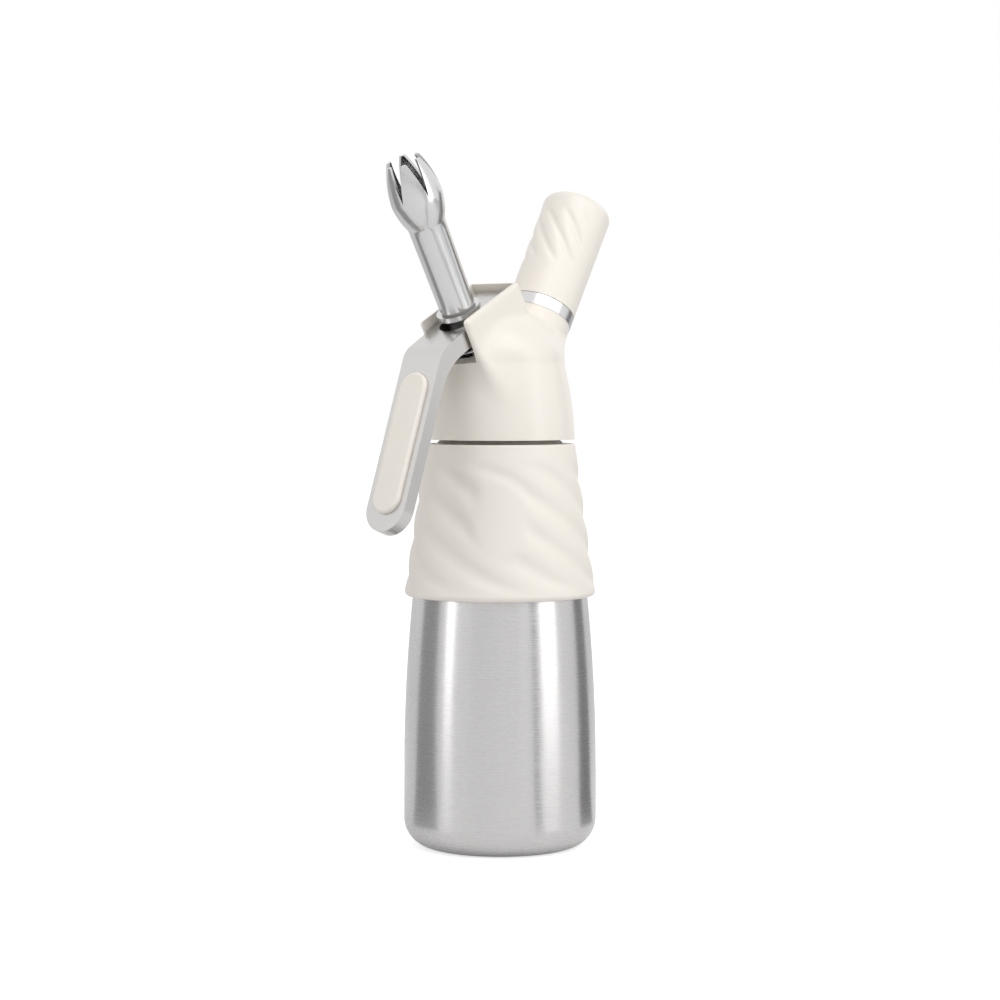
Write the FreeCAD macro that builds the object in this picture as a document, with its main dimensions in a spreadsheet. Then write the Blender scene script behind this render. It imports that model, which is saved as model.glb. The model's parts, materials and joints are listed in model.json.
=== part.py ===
import FreeCAD, Part
import math
import os

import Sketcher
from FreeCAD import Placement, Rotation, Vector

# A whipped cream dispenser, in millimetres. The origin is on the bottle's axis, at its base.
# +Z is up, -X is the lever's side and +X the charger holder's. XZ is the plane of symmetry.
# Two slanted axes leave one vertex on the bottle's axis: the nozzle's and the holder's.

DRIVING_SIZES = {
    "bottle_radius": 40,
    "bottle_wall": 1.5,
    "foot_radius": 12,
    "straight_top": 30,
    "shoulder_top": 167,
    "shoulder_radius": 27.3,
    "neck_radius": 24.6,
    "neck_flare": 2.4,
    "neck_length": 13.6,
    "grip_above_shoulder": 0.6,
    "grip_length": 63.1,
    "grip_bottom_wall": 3.2,
    "grip_top_wall": 3.75,
    "grip_edge": 2,
    "grip_fit": 0.15,
    "seat_gap": 0.3,
    "running_fit": 0.05,
    "thread_gap": 0.35,
    "head_gap": 1.8,
    "head_wall": 3.55,
    "head_curve": 120,
    "waist_radius": 26.4,
    "waist_rise": 18,
    "waist_length": 3,
    "dome_rise": 17,
    "dome_edge": 14,
    "insert_wall": 2.4,
    "insert_length": 11,
    "gasket_thick": 1.9,
    "gasket_width": 4.1,
    "cavity_step": 5.6,
    "cavity_height": 4.5,
    "vertex_drop": 6,
    "nozzle_tilt": 30,
    "holder_tilt": 30,
    "plate_top": 48.6,
    "plate_thick": 7.5,
    "plate_rear": 21.9,
    "bend_ahead": 27.1,
    "bend_angle": 40,
    "bend_outer": 9,
    "bend_inner": 26,
    "leg_thick": 5.8,
    "leg_length": 75.9,
    "lever_width": 20,
    "slot_play": 1,
    "slot_play_rear": 3,
    "slot_play_front": 4.5,
    "pivot_behind": 19,
    "pivot_drop": 3.6,
    "pin_radius": 1.75,
    "pin_bite": 1,
    "pad_width": 13.7,
    "pad_start": 9.5,
    "pad_end": 68.7,
    "pad_proud": 2,
    "pad_recess": 1.2,
    "pad_edge": 1.2,
    "pad_fit": 0.1,
    "cheek_wall": 2,
    "cheek_front": 12,
    "cheek_foot": 13.5,
    "cheek_rear": 26,
    "cheek_rise": 1.9,
    "cheek_low": 36,
    "cheek_tail": 35.6,
    "cheek_taper": 6,
    "slot_side_gap": 1,
    "slot_depth": 14,
    "slot_rear": 24,
    "cut_past": 5,
    "collar_gap": 0.6,
    "bush_length": 9.7,
    "bush_bottom": 19.3,
    "valve_bore_root": 5,
    "stem_radius": 5,
    "stem_bore": 2.2,
    "stem_top": 60,
    "stem_tip_radius": 4,
    "stem_foot_radius": 7,
    "stem_foot_thick": 3,
    "collar_radius": 8.4,
    "collar_thick": 2.2,
    "seal_thick": 2.8,
    "ring_above_bush": 5.7,
    "ring_wire": 0.5,
    "spring_wire": 0.6,
    "spring_gap": 1,
    "spring_turns": 3.5,
    "column_radius": 6.5,
    "waist_in": 0.6,
    "flange_radius": 9.3,
    "flange_thick": 2,
    "flange_lift": 2.6,
    "spigot_length": 9,
    "washer_thick": 0.8,
    "tip_wall": 1.4,
    "tip_tube_radius": 7.35,
    "tip_collar": 91.5,
    "tip_collar_radius": 7.8,
    "tip_belly": 11.5,
    "tip_belly_radius": 10.8,
    "tip_length": 28.2,
    "tip_end_radius": 7.3,
    "tulip_curve": 35,
    "tulip_top_curve": 50,
    "tine_count": 6,
    "tine_slot_start": 13.5,
    "tine_slot_half": 2.7,
    "tine_slot_over": 1,
    "tine_phase": 40,
    "tube_wall": 3.75,
    "tube_root": 16,
    "neck_tube_top": 49.3,
    "holder_wall": 2.25,
    "chrome_height": 4.9,
    "carrier_bottom": 27,
    "carrier_wall": 0.95,
    "carrier_lip": 9.8,
    "gas_way": 2,
    "gas_way_root": 2,
    "charger_bottom": 36.2,
    "charger_length": 65.5,
    "charger_radius": 9,
    "charger_neck": 3.8,
    "charger_neck_length": 8,
    "charger_shoulder": 10,
    "charger_gap": 0.4,
    "seal_squeeze": 0.1,
    "pin_seal_thick": 2,
    "piercer_radius": 1.9,
    "piercer_cone": 3,
    "piercer_point": 0.5,
    "check_radius": 3,
    "check_thick": 1.8,
    "liner_gap": 0.35,
    "liner_wall": 1.3,
    "liner_cap": 1.4,
    "holder_flare": 0.35,
    "holder_edge": 3.8,
    "holder_cap": 1.8,
}

os.makedirs("parts", exist_ok=True)
doc = FreeCAD.newDocument("Dispenser")
sheet = doc.addObject("Spreadsheet::Sheet", "Sizes")


class Size:
    """A length or an angle: its number, and the expression that binds it to the sheet."""

    def __init__(self, number, text):
        self.number = number
        self.text = text

    def __add__(self, other):
        other = as_size(other)
        return Size(self.number + other.number, f"({self.text} + {other.text})")

    def __sub__(self, other):
        other = as_size(other)
        return Size(self.number - other.number, f"({self.text} - {other.text})")

    def __mul__(self, other):
        other = as_size(other)
        return Size(self.number * other.number, f"({self.text} * {other.text})")

    def __truediv__(self, other):
        other = as_size(other)
        return Size(self.number / other.number, f"({self.text} / {other.text})")

    def __neg__(self):
        return Size(-self.number, f"(-1 * {self.text})")


def as_size(value):
    if isinstance(value, Size):
        return value
    return Size(float(value), repr(float(value)))


def sine(angle):
    return Size(math.sin(math.radians(angle.number)), f"sin({angle.text})")


def cosine(angle):
    return Size(math.cos(math.radians(angle.number)), f"cos({angle.text})")


def tangent(angle):
    return Size(math.tan(math.radians(angle.number)), f"tan({angle.text})")


class Sizes:
    """Every driving size by its name."""


for row, (alias, number) in enumerate(DRIVING_SIZES.items(), start=1):
    sheet.set(f"A{row}", alias)
    sheet.set(f"B{row}", str(number))
    sheet.setAlias(f"B{row}", alias)
    setattr(Sizes, alias, Size(float(number), f"Sizes.{alias}"))
doc.recompute()
s = Sizes

# Lengths that follow from the driving sizes.
neck_base = s.shoulder_top + s.neck_flare
neck_top = neck_base + s.neck_length
grip_top = s.shoulder_top + s.grip_above_shoulder
grip_bottom = grip_top - s.grip_length
axis_vertex = neck_top - s.vertex_drop
slot_half = s.lever_width / 2 + s.slot_side_gap
cheek_half = slot_half + s.cheek_wall
valve_bore_radius = s.collar_radius + s.collar_gap
ring_height = s.bush_bottom + s.ring_above_bush
spring_radius = s.stem_radius + s.spring_gap + s.spring_wire
spigot_radius = s.tip_tube_radius - s.tip_wall - s.thread_gap
carrier_radius = s.charger_radius + s.charger_gap + s.carrier_wall
tube_radius = carrier_radius + s.tube_wall
liner_radius = carrier_radius + s.liner_gap + s.liner_wall
holder_radius = liner_radius + s.running_fit * 2 + s.holder_wall
seal_radius = s.charger_neck + s.charger_gap - s.seal_squeeze


def new_body(name):
    body = doc.addObject("PartDesign::Body", name)
    body.Label = name
    return body


def origin_plane(body, role):
    return next(item for item in body.Origin.OriginFeatures if item.Role == role)


def new_sketch(body, name, plane):
    sketch = body.newObject("Sketcher::SketchObject", name)
    sketch.AttachmentSupport = [(origin_plane(body, plane), "")]
    sketch.MapMode = "FlatFace"
    return sketch


def constrain(sketch, kind, *where_and_size):
    """Add a dimension whose last value is a Size, and bind it to the sheet."""
    size = as_size(where_and_size[-1])
    index = sketch.addConstraint(Sketcher.Constraint(kind, *where_and_size[:-1], size.number))
    sketch.setExpression(f"Constraints[{index}]", size.text)


def arc_edge(start, end, bend):
    """An arc between two points. A positive bend has its centre on the left of the way there."""
    middle = (start + end) * 0.5
    way = end - start
    radius = abs(bend)
    reach = math.sqrt(max(radius * radius - way.Length * way.Length / 4, 0))
    left = Vector(-way.y, way.x, 0).normalize()
    side = 1 if bend > 0 else -1
    centre = middle + left * (reach * side)
    first, last = (start, end) if bend > 0 else (end, start)
    begin = math.atan2(first.y - centre.y, first.x - centre.x)
    finish = math.atan2(last.y - centre.y, last.x - centre.x)
    return Part.ArcOfCircle(Part.Circle(centre, Vector(0, 0, 1), radius), begin, finish)


def draw_outline(sketch, points):
    """A closed outline. A point's third value, if any, is the radius of the arc that leaves it."""
    corners = [Vector(as_size(p[0]).number, as_size(p[1]).number, 0) for p in points]
    starts = []
    for index, point in enumerate(points):
        here = corners[index]
        there = corners[(index + 1) % len(points)]
        if len(point) == 3:
            bend = as_size(point[2]).number
            sketch.addGeometry(arc_edge(here, there, bend))
            starts.append(1 if bend > 0 else 2)
        else:
            sketch.addGeometry(Part.LineSegment(here, there))
            starts.append(1)
    for index, point in enumerate(points):
        following = (index + 1) % len(points)
        end = 3 - starts[index]
        sketch.addConstraint(Sketcher.Constraint("Coincident", index, end, following, starts[following]))
    for index, point in enumerate(points):
        constrain(sketch, "DistanceX", index, starts[index], point[0])
        constrain(sketch, "DistanceY", index, starts[index], point[1])
        if len(point) == 3:
            radius = as_size(point[2])
            constrain(sketch, "Radius", index, radius if radius.number > 0 else -radius)


def turned(name, points):
    """A body turned about its own Z axis from an outline of (radius, height) points."""
    body = new_body(name)
    sketch = new_sketch(body, f"{name}_outline", "XZ_Plane")
    draw_outline(sketch, points)
    turn = body.newObject("PartDesign::Revolution", f"{name}_turn")
    turn.Profile = sketch
    turn.ReferenceAxis = (sketch, ["V_Axis"])
    turn.Angle = 360
    body.Tip = turn
    return body


def padded(name, points, width, plane="XZ_Plane"):
    """A body padded evenly to both sides of a plane."""
    body = new_body(name)
    sketch = new_sketch(body, f"{name}_outline", plane)
    draw_outline(sketch, points)
    pad = body.newObject("PartDesign::Pad", f"{name}_pad")
    pad.Profile = sketch
    pad.SideType = "Symmetric"
    pad.Length = as_size(width).number
    pad.setExpression("Length", as_size(width).text)
    body.Tip = pad
    return body


def ring_outline(inner, outer, bottom, top):
    return [(inner, bottom), (outer, bottom), (outer, top), (inner, top)]


def lean(item, tilt, side):
    """Stand an object on the vertex and tilt it about Y. Side -1 is the nozzle, 1 the holder."""
    item.Placement = Placement(Vector(0, 0, axis_vertex.number), Rotation(Vector(0, side, 0), tilt.number))
    item.setExpression("Placement.Base.z", axis_vertex.text)
    item.setExpression("Placement.Rotation.Angle", tilt.text)
    return item


def on_nozzle(item):
    return lean(item, s.nozzle_tilt, -1)


def on_holder(item):
    return lean(item, s.holder_tilt, 1)


def fused(name, shapes):
    result = doc.addObject("Part::MultiFuse", name)
    result.Shapes = shapes
    return result


def less(name, base, tools):
    """The base with every tool cut from it."""
    tool = tools[0] if len(tools) == 1 else fused(f"{name}_tools", tools)
    result = doc.addObject("Part::Cut", name)
    result.Base = base
    result.Tool = tool
    result.Label = name
    return result


# The bottle: one steel wall from its foot to its rim. Its shoulder is a single large arc that
# leaves the straight wall without a crease.
shoulder_rise = s.shoulder_top - s.straight_top
shoulder_drop = s.bottle_radius - s.shoulder_radius
shoulder_curve = (shoulder_rise * shoulder_rise + shoulder_drop * shoulder_drop) / (shoulder_drop * 2)
inner_neck = s.neck_radius - s.bottle_wall
bottle = turned("bottle", [
    (0, 0),
    (s.bottle_radius - s.foot_radius, 0, s.foot_radius),
    (s.bottle_radius, s.foot_radius),
    (s.bottle_radius, s.straight_top, shoulder_curve),
    (s.shoulder_radius, s.shoulder_top),
    (s.neck_radius, neck_base),
    (s.neck_radius, neck_top),
    (inner_neck, neck_top),
    (inner_neck, neck_base),
    (s.shoulder_radius - s.bottle_wall, s.shoulder_top - s.bottle_wall,
     -(shoulder_curve - s.bottle_wall)),
    (s.bottle_radius - s.bottle_wall, s.straight_top),
    (s.bottle_radius - s.bottle_wall, s.foot_radius, -(s.foot_radius - s.bottle_wall)),
    (s.bottle_radius - s.foot_radius, s.bottle_wall),
    (0, s.bottle_wall),
])


def bottle_radius_at(height):
    """The bottle's outer radius on the arc of its shoulder, as the chord's sagitta gives it."""
    rise = height - s.straight_top
    return s.bottle_radius - shoulder_drop * rise * rise / (shoulder_rise * shoulder_rise)


# The grip sleeve: a cone outside, and the bottle's own curve inside.
grip_bottom_radius = bottle_radius_at(grip_bottom) + s.grip_fit + s.grip_bottom_wall
grip_top_radius = s.shoulder_radius + s.grip_fit + s.grip_top_wall
grip_sleeve = turned("grip_sleeve", [
    (bottle_radius_at(grip_bottom) + s.grip_fit, grip_bottom),
    (grip_bottom_radius - s.grip_edge, grip_bottom, s.grip_edge),
    (grip_bottom_radius, grip_bottom + s.grip_edge),
    (grip_top_radius, grip_top),
    (s.shoulder_radius + s.grip_fit, grip_top),
    (s.shoulder_radius + s.grip_fit, s.shoulder_top, -(shoulder_curve + s.grip_fit)),
])

# The head's fittings round the bottle's neck.
head_base = grip_top + s.head_gap
gasket_bottom = neck_top + s.seat_gap
gasket_top = gasket_bottom + s.gasket_thick
insert_inner = s.neck_radius + s.thread_gap
insert_outer = insert_inner + s.insert_wall
insert_top = neck_top - s.seat_gap
insert_bottom = insert_top - s.insert_length
ceiling = gasket_top + s.seat_gap
gasket_inner = s.neck_radius - s.gasket_width
head_gasket = turned("head_gasket", ring_outline(
    gasket_inner, s.neck_radius, gasket_bottom, gasket_top))
thread_insert = turned("thread_insert", ring_outline(
    insert_inner, insert_outer, insert_bottom, insert_top))

# Heights along the nozzle's axis, from the vertex.
plate_bottom = s.plate_top - s.plate_thick
slot_floor = s.plate_top - s.slot_depth
pivot_height = s.plate_top - s.pivot_drop
collar_top = plate_bottom - s.seat_gap
collar_bottom = collar_top - s.collar_thick
bush_top = s.bush_bottom + s.bush_length
seal_top = s.bush_bottom - s.seat_gap
seal_bottom = seal_top - s.seal_thick
flange_bottom = s.plate_top + s.flange_lift
flange_top = flange_bottom + s.flange_thick
tube_bottom = flange_top + s.washer_thick + s.running_fit * 2

# The head: a turned shell, the cheeks beside the lever, and the tube under the holder.
head_radius = insert_outer + s.head_wall
waist_height = neck_top + s.waist_rise
dome_start = waist_height + s.waist_length
dome_reach = s.waist_radius - s.dome_edge
dome_curve = (dome_reach * dome_reach + s.dome_rise * s.dome_rise - s.dome_edge * s.dome_edge) \
    / ((s.dome_rise - s.dome_edge) * 2)
dome_centre = dome_start + s.dome_rise - dome_curve
dome_share = dome_curve / (dome_curve - s.dome_edge)
head_core = turned("head_core", [
    (0, head_base),
    (head_radius, head_base, s.head_curve),
    (s.waist_radius, waist_height),
    (s.waist_radius, dome_start, s.dome_edge),
    (dome_reach * dome_share, dome_centre + (dome_start - dome_centre) * dome_share, dome_curve),
    (0, dome_start + s.dome_rise),
])
cheek_top = s.plate_top + s.cheek_rise
cheek_block = on_nozzle(padded("cheek_block", [
    (-s.cheek_foot, s.cheek_low),
    (-s.cheek_front, cheek_top),
    (s.cheek_rear, cheek_top),
    (s.cheek_tail, s.cheek_low),
    (s.cheek_tail - s.cheek_taper, s.bush_bottom),
    (0, s.bush_bottom),
], cheek_half * 2))
neck_tube = on_holder(turned(
    "neck_tube", ring_outline(0, tube_radius, s.tube_root, s.neck_tube_top)))
head_solid = fused("head_solid", [head_core, cheek_block, neck_tube])

cavity_radius = s.neck_radius - s.cavity_step
head_cavity = turned("head_cavity", [
    (0, head_base - s.cut_past),
    (insert_inner, head_base - s.cut_past),
    (insert_inner, insert_bottom),
    (insert_outer, insert_bottom),
    (insert_outer, insert_top),
    (insert_inner, insert_top),
    (insert_inner, ceiling),
    (cavity_radius, ceiling),
    (cavity_radius - s.cavity_height, ceiling + s.cavity_height),
    (0, ceiling + s.cavity_height),
])
lever_slot = on_nozzle(padded("lever_slot", [
    (-s.cheek_foot - s.cut_past, slot_floor),
    (s.slot_rear, slot_floor),
    (s.slot_rear, cheek_top + s.cut_past),
    (-s.cheek_foot - s.cut_past, cheek_top + s.cut_past),
], slot_half * 2))
valve_bore = on_nozzle(turned("valve_bore", ring_outline(
    0, valve_bore_radius, s.valve_bore_root, slot_floor + s.cut_past)))
carrier_bore = on_holder(turned("carrier_bore", [
    (0, s.gas_way_root),
    (s.gas_way, s.gas_way_root),
    (s.gas_way, s.carrier_bottom),
    (carrier_radius, s.carrier_bottom),
    (carrier_radius, s.neck_tube_top + s.cut_past),
    (0, s.neck_tube_top + s.cut_past),
]))


def cross_pin(name, radius, half_length):
    """A rod along Y at the lever's pivot."""
    return on_nozzle(padded_circle(name, s.pivot_behind, pivot_height, radius, half_length * 2))


def padded_circle(name, across, up, radius, length):
    body = new_body(name)
    sketch = new_sketch(body, f"{name}_circle", "XZ_Plane")
    sketch.addGeometry(Part.Circle(Vector(across.number, up.number, 0), Vector(0, 0, 1), radius.number))
    constrain(sketch, "DistanceX", 0, 3, across)
    constrain(sketch, "DistanceY", 0, 3, up)
    constrain(sketch, "Radius", 0, radius)
    pad = body.newObject("PartDesign::Pad", f"{name}_pad")
    pad.Profile = sketch
    pad.SideType = "Symmetric"
    pad.Length = length.number
    pad.setExpression("Length", length.text)
    body.Tip = pad
    return body


pin_half = slot_half + s.pin_bite
pin_hole = cross_pin("pin_hole", s.pin_radius, pin_half)
head_shell = less("head_shell", head_solid, [head_cavity, lever_slot, valve_bore, carrier_bore, pin_hole])
lever_pin = cross_pin("lever_pin", s.pin_radius, pin_half)

# The dispensing valve: a hollow stem that the spring lifts, so that its seal shuts the bush.
valve_bush = on_nozzle(turned("valve_bush", ring_outline(
    s.stem_radius + s.running_fit * 2, valve_bore_radius, s.bush_bottom, bush_top)))
groove_floor = s.stem_radius - s.ring_wire * 2 + s.running_fit
groove_half = s.ring_wire + s.running_fit
stem_bottom = seal_bottom - s.stem_foot_thick
valve_stem = on_nozzle(turned("valve_stem", [
    (s.stem_bore, stem_bottom),
    (s.stem_foot_radius, stem_bottom),
    (s.stem_foot_radius, seal_bottom),
    (s.stem_radius, seal_bottom),
    (s.stem_radius, ring_height - groove_half),
    (groove_floor, ring_height - groove_half),
    (groove_floor, ring_height + groove_half),
    (s.stem_radius, ring_height + groove_half),
    (s.stem_radius, collar_bottom),
    (s.collar_radius, collar_bottom),
    (s.collar_radius, collar_top),
    (s.stem_tip_radius, collar_top),
    (s.stem_tip_radius, s.stem_top),
    (s.stem_bore, s.stem_top),
]))
valve_seal = on_nozzle(turned("valve_seal", ring_outline(
    s.stem_radius + s.running_fit, s.stem_foot_radius, seal_bottom, seal_top)))

ring_body = new_body("valve_o_ring")
ring_sketch = new_sketch(ring_body, "valve_o_ring_section", "XZ_Plane")
ring_centre = groove_floor + s.ring_wire
ring_sketch.addGeometry(Part.Circle(
    Vector(ring_centre.number, ring_height.number, 0), Vector(0, 0, 1), s.ring_wire.number))
constrain(ring_sketch, "DistanceX", 0, 3, ring_centre)
constrain(ring_sketch, "DistanceY", 0, 3, ring_height)
constrain(ring_sketch, "Radius", 0, s.ring_wire)
ring_turn = ring_body.newObject("PartDesign::Revolution", "valve_o_ring_turn")
ring_turn.Profile = ring_sketch
ring_turn.ReferenceAxis = (ring_sketch, ["V_Axis"])
ring_turn.Angle = 360
ring_body.Tip = ring_turn
valve_o_ring = on_nozzle(ring_body)

# The return spring: one wire helix between the bush and the stem's collar.
spring_low = bush_top + s.running_fit + s.spring_wire
spring_high = collar_bottom - s.running_fit - s.spring_wire
spring_rise = spring_high - spring_low
coil = Part.makeHelix(
    spring_rise.number / s.spring_turns.number, spring_rise.number, spring_radius.number)
coil.translate(Vector(0, 0, spring_low.number))
wire_section = Part.Wire(Part.makeCircle(
    s.spring_wire.number, Vector(spring_radius.number, 0, spring_low.number), Vector(0, 1, 0)))
valve_spring = doc.addObject("Part::Feature", "valve_spring")
valve_spring.Label = "valve_spring"
valve_spring.Shape = Part.Wire(coil).makePipeShell([wire_section], True, True)
on_nozzle(valve_spring)

# The adapter: a waisted column through the lever's slot, a flange, and a spigot for the tip.
column_low = collar_top + s.running_fit
column_inner = s.stem_tip_radius + s.running_fit
column_middle = (column_low + flange_bottom) / 2
nozzle_adapter = on_nozzle(turned("nozzle_adapter", [
    (column_inner, column_low),
    (s.column_radius, column_low),
    (s.column_radius - s.waist_in, column_middle),
    (s.column_radius, flange_bottom),
    (s.flange_radius, flange_bottom),
    (s.flange_radius, flange_top),
    (spigot_radius, flange_top),
    (spigot_radius, flange_top + s.spigot_length),
    (column_inner, flange_top + s.spigot_length),
]))
tip_washer = on_nozzle(turned("tip_washer", ring_outline(
    spigot_radius + s.seat_gap / 2, s.tip_tube_radius - s.seat_gap,
    flange_top + s.running_fit, flange_top + s.running_fit + s.washer_thick)))

# The decorator tip: a tube and a tulip of tines, parted by slots cut right across.
belly_height = s.tip_collar + s.tip_belly
tip_end = s.tip_collar + s.tip_length
decorator_body = turned("decorator_tip", [
    (s.tip_tube_radius - s.tip_wall, tube_bottom),
    (s.tip_tube_radius, tube_bottom),
    (s.tip_collar_radius, s.tip_collar, s.tulip_curve),
    (s.tip_belly_radius, belly_height, s.tulip_top_curve),
    (s.tip_end_radius, tip_end),
    (s.tip_end_radius - s.tip_wall, tip_end, -(s.tulip_top_curve - s.tip_wall)),
    (s.tip_belly_radius - s.tip_wall, belly_height, -(s.tulip_curve - s.tip_wall)),
    (s.tip_collar_radius - s.tip_wall, s.tip_collar),
])
slot_sketch = new_sketch(decorator_body, "tine_slot", "XZ_Plane")
slot_sketch.AttachmentOffset = Placement(Vector(), Rotation(Vector(0, 1, 0), s.tine_phase.number))
slot_sketch.setExpression("AttachmentOffset.Rotation.Angle", s.tine_phase.text)
draw_outline(slot_sketch, [
    (0, s.tip_collar + s.tine_slot_start),
    (s.tine_slot_half, tip_end + s.tine_slot_over),
    (-s.tine_slot_half, tip_end + s.tine_slot_over),
])
slot_pocket = decorator_body.newObject("PartDesign::Pocket", "tine_slot_cut")
slot_pocket.Profile = slot_sketch
slot_pocket.SideType = "Symmetric"
slot_reach = (s.tip_belly_radius + s.cut_past) * 2
slot_pocket.Length = slot_reach.number
slot_pocket.setExpression("Length", slot_reach.text)
slot_pattern = decorator_body.newObject("PartDesign::PolarPattern", "tine_slots")
slot_pattern.Originals = [slot_pocket]
slot_pattern.Axis = (slot_sketch, ["V_Axis"])
slot_pattern.Angle = 360
slot_pattern.Occurrences = int(s.tine_count.number)
slot_pattern.setExpression("Occurrences", s.tine_count.text)
decorator_body.Tip = slot_pattern
decorator_tip = on_nozzle(decorator_body)

# The lever: a plate over the slot and a long leg, from one bent section.
half_bend = s.bend_angle / 2
bend_along = cosine(s.bend_angle)
bend_down = sine(s.bend_angle)
outer_set = s.bend_outer * tangent(half_bend)
inner_set = s.bend_inner * tangent(half_bend)
inner_reach = (s.plate_thick - s.leg_thick * bend_along) / bend_down
inner_corner = s.bend_ahead - s.leg_thick * bend_down + inner_reach * bend_along
tip_across = s.bend_ahead + s.leg_length * bend_along
tip_height = s.plate_top - s.leg_length * bend_down
lever_section = on_nozzle(padded("lever_section", [
    (s.plate_rear, s.plate_top),
    (outer_set - s.bend_ahead, s.plate_top, s.bend_outer),
    (-s.bend_ahead - outer_set * bend_along, s.plate_top - outer_set * bend_down),
    (-tip_across, tip_height),
    (s.leg_thick * bend_down - tip_across, tip_height - s.leg_thick * bend_along),
    (-inner_corner - inner_set * bend_along, plate_bottom - inner_set * bend_down, -s.bend_inner),
    (inner_set - inner_corner, plate_bottom),
    (s.plate_rear, plate_bottom),
], s.lever_width))


def on_leg(item):
    """Lay an object on the leg's outer face: the bend's corner is its origin, and -X runs down."""
    tilt = s.nozzle_tilt + s.bend_angle
    across = -s.bend_ahead * cosine(s.nozzle_tilt) - s.plate_top * sine(s.nozzle_tilt)
    up = axis_vertex + s.plate_top * cosine(s.nozzle_tilt) - s.bend_ahead * sine(s.nozzle_tilt)
    item.Placement = Placement(Vector(across.number, 0, up.number), Rotation(Vector(0, -1, 0), tilt.number))
    item.setExpression("Placement.Base.x", across.text)
    item.setExpression("Placement.Base.z", up.text)
    item.setExpression("Placement.Rotation.Angle", tilt.text)
    return item


def stadium(start, end, half):
    """A slot's outline along -X, with round ends of the given radius."""
    return [
        (-start - half, half),
        (half - end, half, half),
        (-end, 0, half),
        (half - end, -half),
        (-start - half, -half, half),
        (-start, 0, half),
    ]


leg_plan = on_leg(padded("leg_plan", [
    (s.leg_length, -s.lever_width / 2),
    (s.leg_length, s.lever_width / 2),
    (s.lever_width / 2 - s.leg_length, s.lever_width / 2, s.lever_width / 2),
    (-s.leg_length, 0, s.lever_width / 2),
    (s.lever_width / 2 - s.leg_length, -s.lever_width / 2),
], (s.leg_length + s.plate_rear) * 2, "XY_Plane"))
lever_blank = doc.addObject("Part::Common", "lever_blank")
lever_blank.Base = lever_section
lever_blank.Tool = leg_plan
column_slot = on_nozzle(padded(
    "column_slot", stadium(
        -s.column_radius - s.slot_play_rear, s.column_radius + s.slot_play_front,
        s.column_radius + s.slot_play),
    (s.plate_top + s.cut_past) * 2, "XY_Plane"))
pivot_hole = cross_pin("pivot_hole", s.pin_radius + s.running_fit, s.lever_width)


def sunk_stadium(name, start, end, half, bottom, height):
    """A stadium-shaped block on the leg, from below its face to above it."""
    body = new_body(name)
    sketch = new_sketch(body, f"{name}_outline", "XY_Plane")
    sketch.AttachmentOffset = Placement(Vector(0, 0, -bottom.number), Rotation())
    sketch.setExpression("AttachmentOffset.Base.z", (-bottom).text)
    draw_outline(sketch, stadium(start, end, half))
    pad = body.newObject("PartDesign::Pad", f"{name}_pad")
    pad.Profile = sketch
    pad.Length = height.number
    pad.setExpression("Length", height.text)
    body.Tip = pad
    return on_leg(body)


pad_recess = sunk_stadium(
    "pad_recess_cut", s.pad_start - s.pad_fit, s.pad_end + s.pad_fit, s.pad_width / 2 + s.pad_fit,
    s.pad_recess, s.pad_recess + s.pad_proud)
lever = less("lever", lever_blank, [column_slot, pivot_hole, pad_recess])
lever_pad = sunk_stadium(
    "lever_pad", s.pad_start, s.pad_end, s.pad_width / 2, s.pad_recess, s.pad_recess + s.pad_proud)
doc.recompute()
raised_pad = lever_pad.Tip
top_faces = [
    f"Face{index}" for index, face in enumerate(raised_pad.Shape.Faces, start=1)
    if abs(face.CenterOfMass.z - s.pad_proud.number) < 0.001
]
pad_round = lever_pad.newObject("PartDesign::Fillet", "lever_pad_round")
pad_round.Base = (raised_pad, top_faces)
pad_round.Radius = s.pad_edge.number
pad_round.setExpression("Radius", s.pad_edge.text)
lever_pad.Tip = pad_round

# The charger holder's side: ring, carrier, valve, pin and seal in the head, then the charger.
ring_top = s.neck_tube_top + s.chrome_height
holder_bottom = ring_top + s.seat_gap
charger_top = s.charger_bottom + s.charger_length
charger_collar = on_holder(turned("charger_collar", ring_outline(
    carrier_radius + s.running_fit, holder_radius, s.neck_tube_top, ring_top)))
neck_end = s.charger_bottom + s.charger_neck_length
shoulder_end = neck_end + s.charger_shoulder
well_bottom = s.charger_bottom - s.pin_seal_thick - s.seat_gap
check_top = s.carrier_bottom + s.check_thick + s.running_fit * 2
carrier_top = shoulder_end + s.carrier_lip
pin_carrier = on_holder(turned("pin_carrier", [
    (s.check_radius + s.running_fit, s.carrier_bottom),
    (carrier_radius, s.carrier_bottom),
    (carrier_radius, carrier_top),
    (s.charger_radius + s.charger_gap, carrier_top),
    (s.charger_radius + s.charger_gap, shoulder_end),
    (s.charger_neck + s.charger_gap, neck_end),
    (s.charger_neck + s.charger_gap, well_bottom),
    (s.piercer_radius + s.running_fit, well_bottom),
    (s.piercer_radius + s.running_fit, check_top),
    (s.check_radius + s.running_fit, check_top),
]))
check_valve = on_holder(turned("check_valve", ring_outline(
    0, s.check_radius, s.carrier_bottom + s.running_fit, s.carrier_bottom + s.running_fit + s.check_thick)))
piercer_bottom = check_top + s.running_fit
piercer_top = s.charger_bottom - s.seat_gap
piercing_pin = on_holder(turned("piercing_pin", [
    (0, piercer_bottom),
    (s.piercer_radius, piercer_bottom),
    (s.piercer_radius, piercer_top - s.piercer_cone),
    (s.piercer_point, piercer_top),
    (0, piercer_top),
]))
pin_seal = on_holder(turned("pin_seal", ring_outline(
    s.piercer_radius + s.running_fit, seal_radius, well_bottom, well_bottom + s.pin_seal_thick)))
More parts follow.
